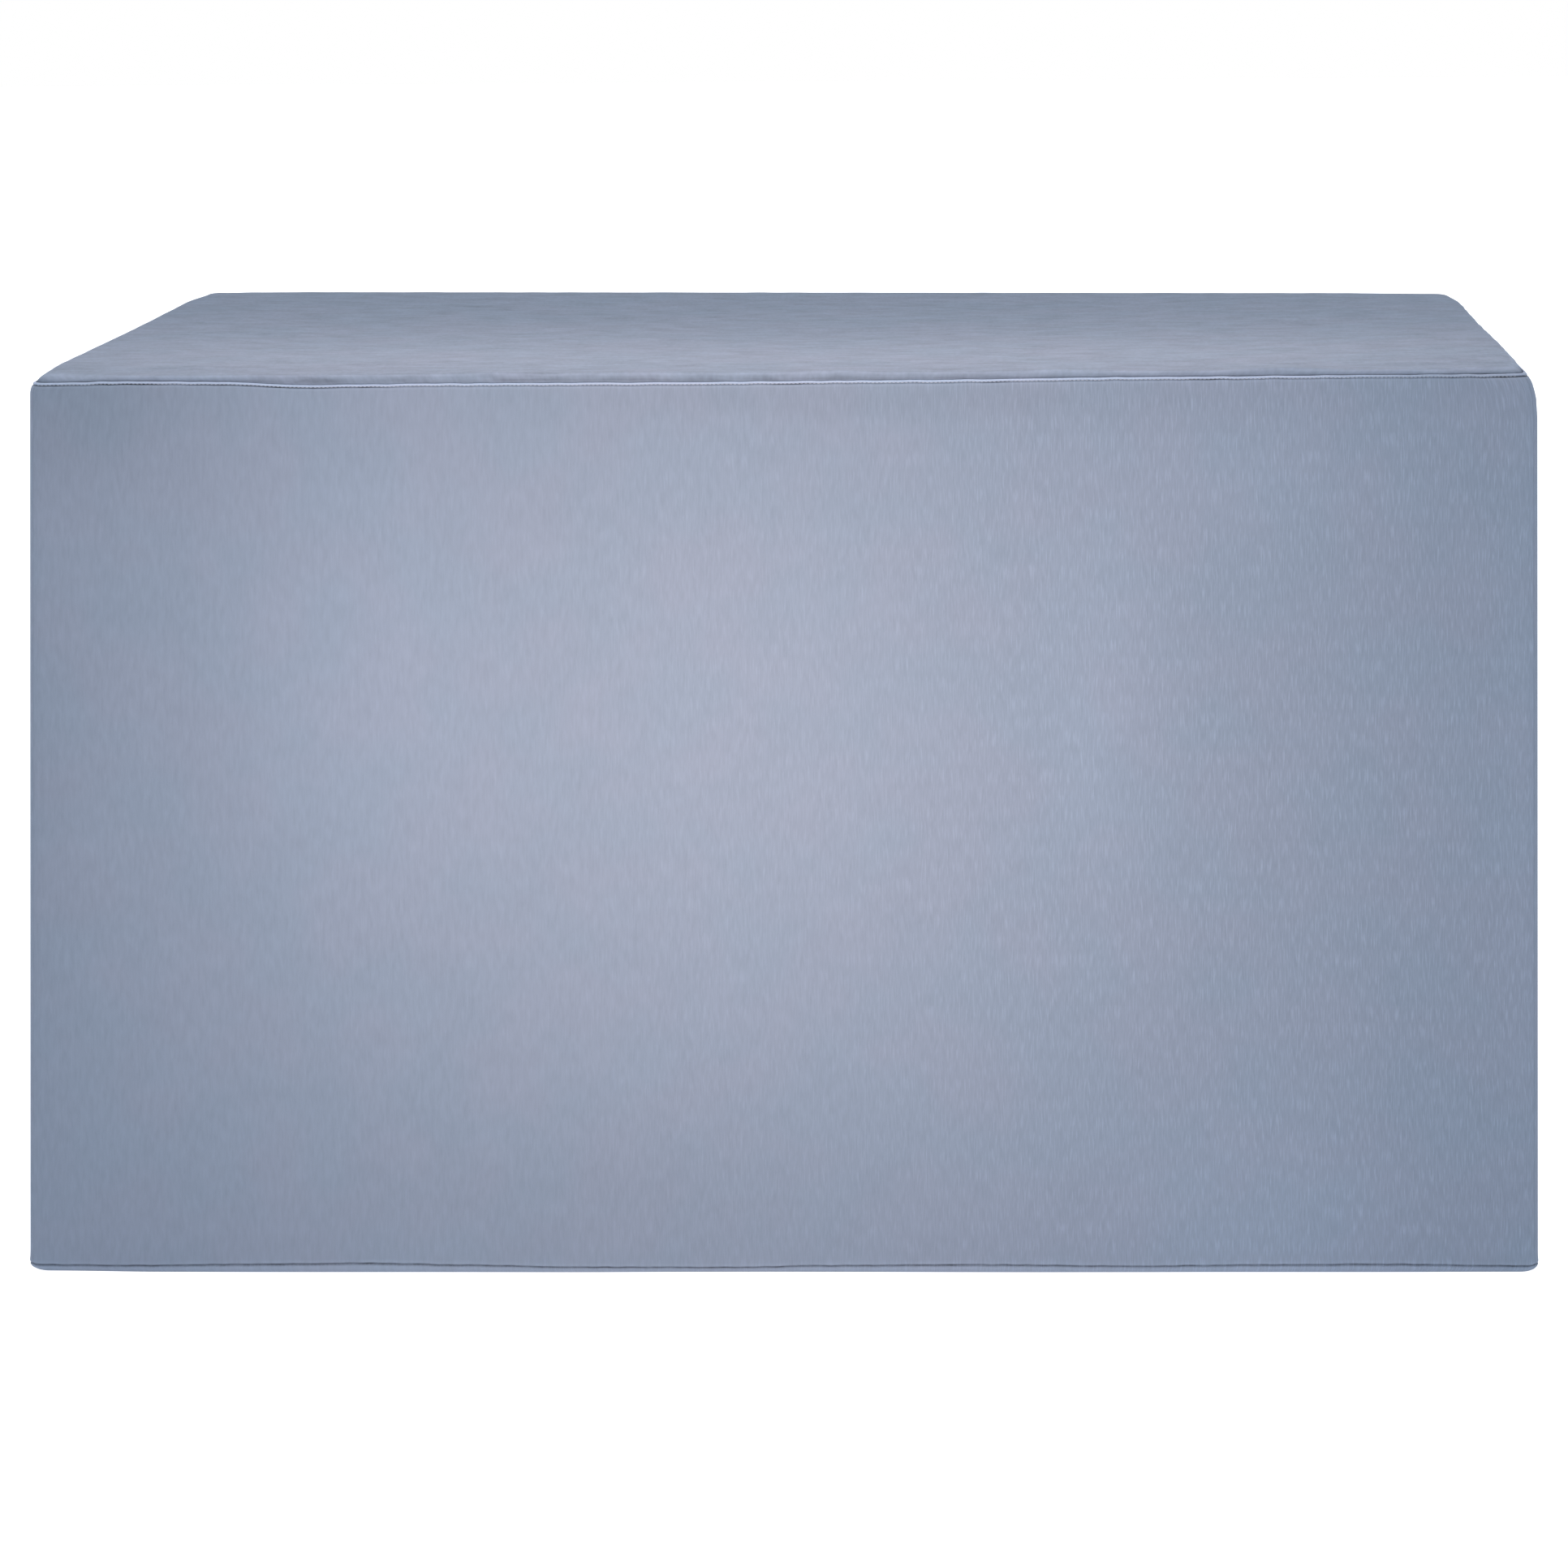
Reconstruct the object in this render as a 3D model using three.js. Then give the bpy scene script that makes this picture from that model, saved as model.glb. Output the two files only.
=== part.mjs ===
import * as THREE from "three";

// A fitted, box-shaped outdoor cover: one top panel and four skirt panels of thin woven cloth, hollow and open
// at the hem. Sizes are in millimetres, Z is up, the front faces -Y and the hem stands on Z = 0.

// Driving sizes
const topWidth = 1520;
const topDepth = 914;
const roofHeight = 933;
const clothThickness = 1.6;
const sewnGap = 0.3;
const edgeRadius = 15; // of the upright corner edges, seen from above
const roofCornerRadius = 12; // of the flat roof's outline
const foldRadius = 5; // where the top panel turns down over its long edges
const cornerReach = 120; // how far along a side a corner's own shape fades out
const turnDown = 7; // how far the top panel's edge runs on behind the skirt's lip
const edgeSlack = 0.4; // that edge hangs a little free
const roofSag = 6;
const hemFold = 11; // height of the folded hem
const hemThickness = 3.2;
const hemCurl = 14; // height over which the drawn-in hem bends inwards
const hemCurlPower = 3.5;
const leanHeight = 45; // under the roof, over which the wall leans in

// The cover's four corners: which way each lies, how far the hem swings out there, how large the soft rounding
// at the top is, how far the hem is drawn in, and the roof's rise or fall.
const corners = {
  frontLeft: { x: -1, y: -1, swingX: 30, swingY: 31, rounding: 17, hemDraw: 8, rise: 0 },
  frontRight: { x: 1, y: -1, swingX: 16, swingY: 6, rounding: 17, hemDraw: 5, rise: 2 },
  backRight: { x: 1, y: 1, swingX: 18, swingY: 20, rounding: 13, hemDraw: 9, rise: -4 },
  backLeft: { x: -1, y: 1, swingX: 22, swingY: 20, rounding: 15, hemDraw: 10, rise: 4 },
};

// The sides, anticlockwise from above. Along each, seen from outside and measured from its left end as a share
// of its length: how far the top seam lies under the roof, how far the wall leans in there, and how far the hem
// is drawn in.
const sides = [
  {
    name: "front",
    normal: [0, -1],
    along: [1, 0],
    corners: [corners.frontLeft, corners.frontRight],
    spans: 14,
    hollow: 1,
    seam: [
      { at: 0, drop: 7 },
      { at: 0.06, drop: 5.5 },
      { at: 0.12, drop: 6.5 },
      { at: 0.18, drop: 10 },
      { at: 0.28, drop: 9 },
      { at: 0.42, drop: 9 },
      { at: 0.58, drop: 8 },
      { at: 0.76, drop: 6 },
      { at: 0.92, drop: 5 },
      { at: 1, drop: 6 },
    ],
    lean: [
      { at: 0, lean: 0 },
      { at: 0.92, lean: 0 },
      { at: 1, lean: 11 },
    ],
    hem: [
      { at: 0, draw: 4 },
      { at: 0.22, draw: 2.5 },
      { at: 0.48, draw: 4 },
      { at: 0.7, draw: 3 },
      { at: 1, draw: 4 },
    ],
  },
  {
    name: "right",
    normal: [1, 0],
    along: [0, 1],
    corners: [corners.frontRight, corners.backRight],
    spans: 7,
    hollow: 5,
    seam: [
      { at: 0, drop: 6 },
      { at: 0.3, drop: 9.5 },
      { at: 0.62, drop: 8 },
      { at: 1, drop: 8 },
    ],
    lean: [
      { at: 0, lean: 11 },
      { at: 0.45, lean: 7 },
      { at: 1, lean: 0 },
    ],
    hem: [
      { at: 0, draw: 4 },
      { at: 0.45, draw: 5.5 },
      { at: 1, draw: 4 },
    ],
  },
  {
    name: "back",
    normal: [0, 1],
    along: [-1, 0],
    corners: [corners.backRight, corners.backLeft],
    spans: 14,
    hollow: 4,
    seam: [
      { at: 0, drop: 8 },
      { at: 0.2, drop: 10 },
      { at: 0.45, drop: 8.5 },
      { at: 0.75, drop: 10 },
      { at: 1, drop: 8 },
    ],
    lean: [
      { at: 0, lean: 0 },
      { at: 1, lean: 0 },
    ],
    hem: [
      { at: 0, draw: 4 },
      { at: 0.35, draw: 3 },
      { at: 0.6, draw: 5 },
      { at: 1, draw: 4 },
    ],
  },
  {
    name: "left",
    normal: [-1, 0],
    along: [0, -1],
    corners: [corners.backLeft, corners.frontLeft],
    spans: 7,
    hollow: 6,
    seam: [
      { at: 0, drop: 8 },
      { at: 0.35, drop: 9.5 },
      { at: 0.7, drop: 8.5 },
      { at: 1, drop: 7 },
    ],
    lean: [
      { at: 0, lean: 0 },
      { at: 0.5, lean: 4 },
      { at: 0.85, lean: 3 },
      { at: 1, lean: 0 },
    ],
    hem: [
      { at: 0, draw: 4 },
      { at: 0.55, draw: 5 },
      { at: 1, draw: 4 },
    ],
  },
];

// The skirt's lip, downwards from its top edge: a rounded folded edge, the groove of the topstitching and a
// slight puff of cloth under it.
const lip = [
  { down: 0, proud: 0.3 },
  { down: 1.2, proud: 0.9 },
  { down: 3.2, proud: 0.3 },
  { down: 4.2, proud: -0.3 },
  { down: 6.5, proud: 0.2 },
  { down: 11, proud: 0 },
  { down: 26, proud: 0 },
];
const lipBack = [0, 4, 8, 12, 26]; // how far under the top edge the inner face has its rows
const skirtHeights = [840, 660, 460, 260, 90];

// The hem, downwards: the cloth above it, the groove of its stitching and the folded band that stands on the floor.
const hemRows = [
  { z: 24, proud: 0 },
  { z: 12.5, proud: 0.2 },
  { z: 9.5, proud: -0.6 },
  { z: 7.5, proud: 0.3 },
  { z: 3.5, proud: 0.3 },
  { z: 0, proud: 0 },
];
const hemStep = { above: 1, below: 0.5 }; // where the inner face steps in to the folded hem's

// Across an upright seam: how far each row of points lies from the seam's plane, and how far it dips inwards.
const seamAngle = 45; // each seam stands in the middle of a corner's bend
const seamTurn = 0.1; // how much further than the cloth's thickness its edge turns in
const seamEdge = [
  { outerAway: 1.3, innerAway: 2.6, dip: 0.05 },
  { outerAway: 0.4, innerAway: 2, dip: 0.6 },
  { outerAway: sewnGap / 2, innerAway: 1.6, turnedIn: true },
];
const bendAngles = [seamAngle / 2, 0];
const nearCorner = [25, 65]; // extra columns of points, by their distance from the corner
const foldSteps = 3; // round the top panel's fold

const coverCloth = { color: "#98a1b5", roughness: 0.86, metalness: 0 };
const hiddenCloth = { color: "#8f99af", roughness: 0.86, metalness: 0 };

// Small helpers
const mix = (a, b, t) => a + (b - a) * t;
const ease = (t) => t * t * (3 - 2 * t);
const within = (t) => Math.min(1, Math.max(0, t));

function readTable(table, key, at) {
  const next = Math.max(1, table.findIndex((row) => row.at >= at));
  const from = table[next - 1];
  const to = table[next];
  return mix(from[key], to[key], ease(within((at - from.at) / (to.at - from.at))));
}

const sideLength = (side) => (side.along[0] === 0 ? topDepth : topWidth);

// A value that each corner sets for itself and that fades to a middle value along the side.
function cornerValue(side, at, key, middle) {
  const length = sideLength(side);
  const [start, end] = side.corners;
  const fromStart = ease(within(1 - (at * length) / cornerReach));
  const fromEnd = ease(within(1 - ((1 - at) * length) / cornerReach));
  return middle + (start[key] - middle) * fromStart + (end[key] - middle) * fromEnd;
}

// How far the rounding has drawn the wall in at a depth under the roof.
function roundedIn(radius, depth) {
  const rise = radius - Math.min(depth, radius);
  return radius - Math.sqrt(radius * radius - rise * rise);
}

const roofLevel = (side, at) => roofHeight + mix(side.corners[0].rise, side.corners[1].rise, at);
const seamLevel = (side, at) => roofLevel(side, at) - readTable(side.seam, "drop", at);
const rounding = (side, at) => cornerValue(side, at, "rounding", foldRadius);

// How far the wall hangs inside the straight line between two corners at height z, without the top's rounding.
function wallHang(side, at, z) {
  const depth = roofLevel(side, at) - z;
  const lean = readTable(side.lean, "lean", at) * within(1 - depth / leanHeight) ** 2;
  const hollow = side.hollow * Math.sin(Math.PI * at) * Math.sin((Math.PI * z) / roofHeight);
  const draw = cornerValue(side, at, "hemDraw", readTable(side.hem, "draw", at));
  const curl = draw * within(1 - z / hemCurl) ** hemCurlPower;
  return lean + hollow + curl;
}

function wallInset(side, at, z) {
  return wallHang(side, at, z) + roundedIn(rounding(side, at), roofLevel(side, at) - z);
}

// A place on the outline at height z. Its column is a share of the side's straight length, or an angle in the
// bend at one end, and inset and radius say how far in the outline runs and how round its corners are.
function outlinePoint(side, column, z, inset, radius) {
  const [start, end] = side.corners.map((corner) => {
    const swing = 1 - z / roofHeight;
    const x = corner.x * (topWidth / 2 + corner.swingX * swing);
    const y = corner.y * (topDepth / 2 + corner.swingY * swing);
    const nearX = x - corner.x * (inset + radius);
    const nearY = y - corner.y * (inset + radius);
    return {
      along: nearX * side.along[0] + nearY * side.along[1],
      out: nearX * side.normal[0] + nearY * side.normal[1] + inset + radius,
    };
  });
  const angle = THREE.MathUtils.degToRad(column.angle ?? 0);
  const tilt = [Math.sin(angle), Math.cos(angle)];
  const reach = radius - (column.dip ?? 0);
  const away = column.away ?? 0;
  const turn = Math.sign(angle);
  const along = mix(start.along, end.along, column.at) + tilt[0] * reach - turn * away * tilt[1];
  const out = mix(start.out, end.out, column.at) - inset - radius + tilt[1] * reach + turn * away * tilt[0];
  return new THREE.Vector3(
    along * side.along[0] + out * side.normal[0],
    along * side.along[1] + out * side.normal[1],
    z,
  );
}

// Columns of points along one side: a bend, the straight run and the other bend. They stand closer near the
// corners, where the shape changes fastest.
function sideColumns(side) {
  const length = sideLength(side);
  const straight = nearCorner.map((distance) => ({ at: distance / length }));
  for (let i = 0; i <= side.spans; i += 1) {
    straight.push({ at: mix(cornerReach, length - cornerReach, i / side.spans) / length });
  }
  straight.push(...nearCorner.map((distance) => ({ at: 1 - distance / length })).reverse());
  const firstBend = bendAngles.map((angle) => ({ at: 0, angle: -angle }));
  const lastBend = bendAngles.map((angle) => ({ at: 1, angle })).reverse();
  return [...firstBend, ...straight, ...lastBend];
}

// A closed mesh gathered point by point.
class Skin {
  constructor() {
    this.points = [];
    this.faces = [];
  }

  add(point) {
    this.points.push(point.x, point.y, point.z);
    return this.points.length / 3 - 1;
  }

  triangle(a, b, c) {
    this.faces.push(a, b, c);
  }

  // Two neighbouring lines of the same number of points.
  band(first, second) {
    for (let i = 0; i + 1 < first.length; i += 1) {
      this.triangle(first[i], second[i], second[i + 1]);
      this.triangle(first[i], second[i + 1], first[i + 1]);
    }
  }

  // Two lines that run downwards side by side with points at different heights.
  closeEdge(first, second) {
    const height = (index) => this.points[index * 3 + 2];
    let a = 0;
    let b = 0;
    while (a + 1 < first.length || b + 1 < second.length) {
      const firstNext = a + 1 < first.length ? height(first[a + 1]) : -Infinity;
      const secondNext = b + 1 < second.length ? height(second[b + 1]) : -Infinity;
      if (firstNext >= secondNext) {
        this.triangle(first[a], second[b], first[a + 1]);
        a += 1;
      } else {
        this.triangle(first[a], second[b], second[b + 1]);
        b += 1;
      }
    }
  }

  mesh(name, finish) {
    const geometry = new THREE.BufferGeometry();
    geometry.setAttribute("position", new THREE.Float32BufferAttribute(this.points, 3));
    geometry.setIndex(this.faces);
    geometry.computeVertexNormals();
    const mesh = new THREE.Mesh(geometry, new THREE.MeshStandardMaterial(finish));
    mesh.name = name;
    return mesh;
  }
}

const thicknessAt = (z) => (z < hemFold ? hemThickness : clothThickness);

// One column of a skirt panel, outer or inner face, from the lip down to the hem.
function skirtRows(side, at, isOuter) {
  const top = seamLevel(side, at);
  if (isOuter) {
    return [
      ...lip.map(({ down, proud }) => ({ z: top - down, proud })),
      ...skirtHeights.map((z) => ({ z, proud: 0 })),
      ...hemRows,
    ];
  }
  const behindLip = lipBack.map((down) => top - down);
  const heights = [...behindLip, ...skirtHeights, hemFold + hemStep.above, hemFold - hemStep.below, 0];
  return heights.map((z) => ({ z, proud: -thicknessAt(z) }));
}

function skirtLine(skin, side, column, isOuter) {
  return skirtRows(side, column.at, isOuter).map(({ z, proud }) => {
    const place = { ...column, away: isOuter ? column.outerAway : column.innerAway };
    const depth = isOuter ? 0 : thicknessAt(z);
    if (column.turnedIn) {
      place.dip = thicknessAt(z) + seamTurn - depth;
    } else if (!isOuter) {
      place.dip = 0;
    }
    const inset = wallInset(side, column.at, z) - proud;
    return skin.add(outlinePoint(side, place, z, inset, edgeRadius + proud));
  });
}

function skirtPanel(side) {
  const skin = new Skin();
  const firstSeam = seamEdge.map((edge) => ({ ...edge, at: 0, angle: -seamAngle })).reverse();
  const lastSeam = seamEdge.map((edge) => ({ ...edge, at: 1, angle: seamAngle }));
  const columns = [...firstSeam, ...sideColumns(side), ...lastSeam];
  const outer = columns.map((column) => skirtLine(skin, side, column, true));
  const inner = columns.map((column) => skirtLine(skin, side, column, false));
  for (let i = 0; i + 1 < columns.length; i += 1) {
    skin.band(outer[i + 1], outer[i]);
    skin.band(inner[i], inner[i + 1]);
    skin.band([inner[i + 1][0], outer[i + 1][0]], [inner[i][0], outer[i][0]]);
    skin.band([outer[i + 1].at(-1), inner[i + 1].at(-1)], [outer[i].at(-1), inner[i].at(-1)]);
  }
  skin.closeEdge(outer[0], inner[0]);
  skin.closeEdge(inner.at(-1), outer.at(-1));
  return skin.mesh(`${side.name}_panel`, side.name === "front" ? coverCloth : hiddenCloth);
}

// One ring of the top panel right round the cover. Each place on it is worked out by the function handed in.
function topRing(place) {
  return sides.flatMap((side) => {
    const columns = [{ at: 0, angle: -seamAngle }, ...sideColumns(side)];
    return columns.map((column) => place(side, column));
  });
}

// A share of the way round the fold, from the flat roof (0) to the seam (1).
function foldPlace(share, depthInside) {
  return (side, column) => {
    const at = column.at;
    const radius = rounding(side, at);
    const drop = Math.min(radius, readTable(side.seam, "drop", at));
    const lastAngle = Math.asin((radius - drop) / radius);
    const angle = mix(Math.PI / 2, lastAngle, share);
    const depth = radius * (1 - Math.sin(angle));
    const z = roofLevel(side, at) - depth - depthInside * Math.sin(angle);
    const hang = wallHang(side, at, roofLevel(side, at) - depth);
    const behind = clothThickness + sewnGap;
    const inset = hang + behind + radius * (1 - Math.cos(angle)) + depthInside * Math.cos(angle);
    const bend = mix(roofCornerRadius, edgeRadius - behind - depthInside, share);
    return outlinePoint(side, column, z, inset, bend);
  };
}

function bandPlace(down, depthInside) {
  return (side, column) => {
    const z = seamLevel(side, column.at) - down;
    const behind = clothThickness + sewnGap + edgeSlack + depthInside;
    return outlinePoint(side, column, z, wallInset(side, column.at, z) + behind, edgeRadius - behind);
  };
}

// The roof inside its ring: each point is blended from the four edges and sinks a little towards the middle.
function roofGrid(ring) {
  const counts = sides.map((side) => sideColumns(side).length + 1);
  const [across, deep] = counts;
  const front = (i) => ring[i];
  const right = (j) => ring[across + j];
  const back = (i) => ring[across + deep + (across - i)];
  const left = (j) => ring[(2 * across + deep + (deep - j)) % ring.length];
  const grid = [];
  for (let j = 0; j <= deep; j += 1) {
    const v = (left(j).y - left(0).y) / (left(deep).y - left(0).y);
    const row = [];
    for (let i = 0; i <= across; i += 1) {
      const u = (front(i).x - front(0).x) / (front(across).x - front(0).x);
      const point = new THREE.Vector3()
        .addScaledVector(front(i), 1 - v)
        .addScaledVector(back(i), v)
        .addScaledVector(left(j), 1 - u)
        .addScaledVector(right(j), u)
        .addScaledVector(front(0), -(1 - u) * (1 - v))
        .addScaledVector(front(across), -u * (1 - v))
        .addScaledVector(back(0), -(1 - u) * v)
        .addScaledVector(back(across), -u * v);
      point.z -= roofSag * Math.sin(Math.PI * u) * Math.sin(Math.PI * v);
      row.push(point);
    }
    grid.push(row);
  }
  return grid;
}

// Adds one face of the roof and gives back its rim, in the ring's own order.
function addRoof(skin, grid, faceUp) {
  const rows = grid.map((row) => row.map((point) => skin.add(point)));
  for (let j = 0; j + 1 < rows.length; j += 1) {
    if (faceUp) skin.band(rows[j + 1], rows[j]);
    else skin.band(rows[j], rows[j + 1]);
  }
  const last = rows.length - 1;
  const rim = [
    ...rows[0].slice(0, -1),
    ...rows.slice(0, -1).map((row) => row.at(-1)),
    ...rows[last].slice(1).reverse(),
    ...rows.slice(1).map((row) => row[0]).reverse(),
  ];
  return rim;
}

function topPanel() {
  const skin = new Skin();
  const closed = (line) => [...line, line[0]];
  const addRing = (place) => topRing(place).map((point) => skin.add(point));
  const foldShares = Array.from({ length: foldSteps }, (_, i) => (i + 1) / foldSteps);
  const lines = [
    addRoof(skin, roofGrid(topRing(foldPlace(0, 0))), true),
    ...foldShares.map((share) => addRing(foldPlace(share, 0))),
    addRing(bandPlace(turnDown, 0)),
    addRing(bandPlace(turnDown, clothThickness)),
    addRing(foldPlace(1, clothThickness)),
    addRoof(skin, roofGrid(topRing(foldPlace(0, clothThickness))), false),
  ];
  for (let i = 0; i + 1 < lines.length; i += 1) skin.band(closed(lines[i]), closed(lines[i + 1]));
  return skin.mesh("top_panel", coverCloth);
}

const cover = new THREE.Group();
cover.add(topPanel());
for (const side of sides) cover.add(skirtPanel(side));

// The hem doesn't swing out alike all round, so the cover is set with the middle of its footprint at the origin.
const middle = new THREE.Box3().setFromObject(cover).getCenter(new THREE.Vector3());
cover.position.set(-middle.x, -middle.y, 0);

export default cover;
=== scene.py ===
import math
import bpy
import numpy as np
from mathutils import Matrix, Vector


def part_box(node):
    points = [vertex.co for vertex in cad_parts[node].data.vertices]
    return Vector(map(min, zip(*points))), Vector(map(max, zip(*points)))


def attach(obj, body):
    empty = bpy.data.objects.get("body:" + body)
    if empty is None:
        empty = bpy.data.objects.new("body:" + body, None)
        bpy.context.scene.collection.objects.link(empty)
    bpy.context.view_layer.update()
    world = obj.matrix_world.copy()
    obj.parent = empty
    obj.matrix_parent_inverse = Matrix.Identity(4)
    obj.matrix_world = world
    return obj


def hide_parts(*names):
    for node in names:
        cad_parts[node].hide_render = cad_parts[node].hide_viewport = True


# A fitted, box-shaped outdoor cover: a top panel and four skirt panels, topstitched and hemmed. Places are in
# metres in the frame's own axes: the front faces -Y and the hem stands on z = 0. Small sizes are in millimetres.
mm = 0.001

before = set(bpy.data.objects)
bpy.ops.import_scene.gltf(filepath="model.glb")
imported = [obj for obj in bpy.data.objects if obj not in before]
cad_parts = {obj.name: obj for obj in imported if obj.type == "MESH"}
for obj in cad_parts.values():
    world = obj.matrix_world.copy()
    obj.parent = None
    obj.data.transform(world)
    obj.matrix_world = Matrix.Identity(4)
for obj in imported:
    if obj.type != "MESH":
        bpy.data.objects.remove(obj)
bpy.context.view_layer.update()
print("frame loaded:", ", ".join(sorted(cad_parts)))


# The camera stands low and a little right of the middle, as in the photo
cameraSettings = {
    "place": (0.278, -4.6672, 1.3927),
    "tiltDown": 9.302,  # degrees, as are the next two
    "turnLeft": 2.469,
    "roll": -0.472,
    "lens": 97.07,
    "sensor": 36,
    "shift": (-0.0542, -0.1165),
}


def makeCamera(settings):
    tilt, turn, roll = (math.radians(settings[name]) for name in ("tiltDown", "turnLeft", "roll"))
    forward = Vector((-math.sin(turn) * math.cos(tilt), math.cos(turn) * math.cos(tilt), -math.sin(tilt)))
    level = Vector((math.cos(turn), math.sin(turn), 0))
    upright = level.cross(forward)
    right = level * math.cos(roll) + upright * math.sin(roll)
    up = upright * math.cos(roll) - level * math.sin(roll)
    lens = bpy.data.cameras.new("photoCamera")
    lens.lens = settings["lens"]
    lens.sensor_width = settings["sensor"]
    lens.shift_x, lens.shift_y = settings["shift"]
    camera = bpy.data.objects.new("photoCamera", lens)
    bpy.context.scene.collection.objects.link(camera)
    turned = Matrix((right, up, -forward)).transposed().to_4x4()
    camera.matrix_world = Matrix.Translation(settings["place"]) @ turned
    bpy.context.scene.camera = camera


makeCamera(cameraSettings)
print("camera placed")


# The cover's main sizes: its outline is that of the solids, and its cloth is a little thinner
cover = {
    "topWidth": 1.520,
    "topDepth": 0.914,
    "roofHeight": 0.933,
    "edgeRadius": 15 * mm,  # of the upright corner edges, seen from above
    "roofCornerRadius": 12 * mm,
    "foldRadius": 5 * mm,
    "cornerReach": 120 * mm,  # how far a corner's own shape fades out along a side
    "leanHeight": 45 * mm,
    "roofSag": 6 * mm,
    "hemCurl": 14 * mm,
    "hemCurlPower": 3.5,
    "clothThickness": 1.0 * mm,
    "hemThickness": 2.6 * mm,
    "topBehindSkirt": 1.9 * mm,  # from the skirt's outer face to the top panel's turned-down edge
}

# Each corner: which way it lies, how far the hem swings out, the soft rounding at the top, how far the hem is
# drawn in, and the roof's rise or fall (mm)
cornerColumns = ("x", "y", "swingX", "swingY", "rounding", "hemDraw", "rise")
cornerRows = {
    "frontLeft": (-1, -1, 30, 31, 19, 8, 0),
    "frontRight": (1, -1, 16, 6, 17, 5, 2),
    "backRight": (1, 1, 18, 20, 13, 9, -4),
    "backLeft": (-1, 1, 22, 20, 15, 10, 4),
}
corners = {
    name: {key: value * (1 if key in "xy" else mm) for key, value in zip(cornerColumns, row)}
    for name, row in cornerRows.items()
}

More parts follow.
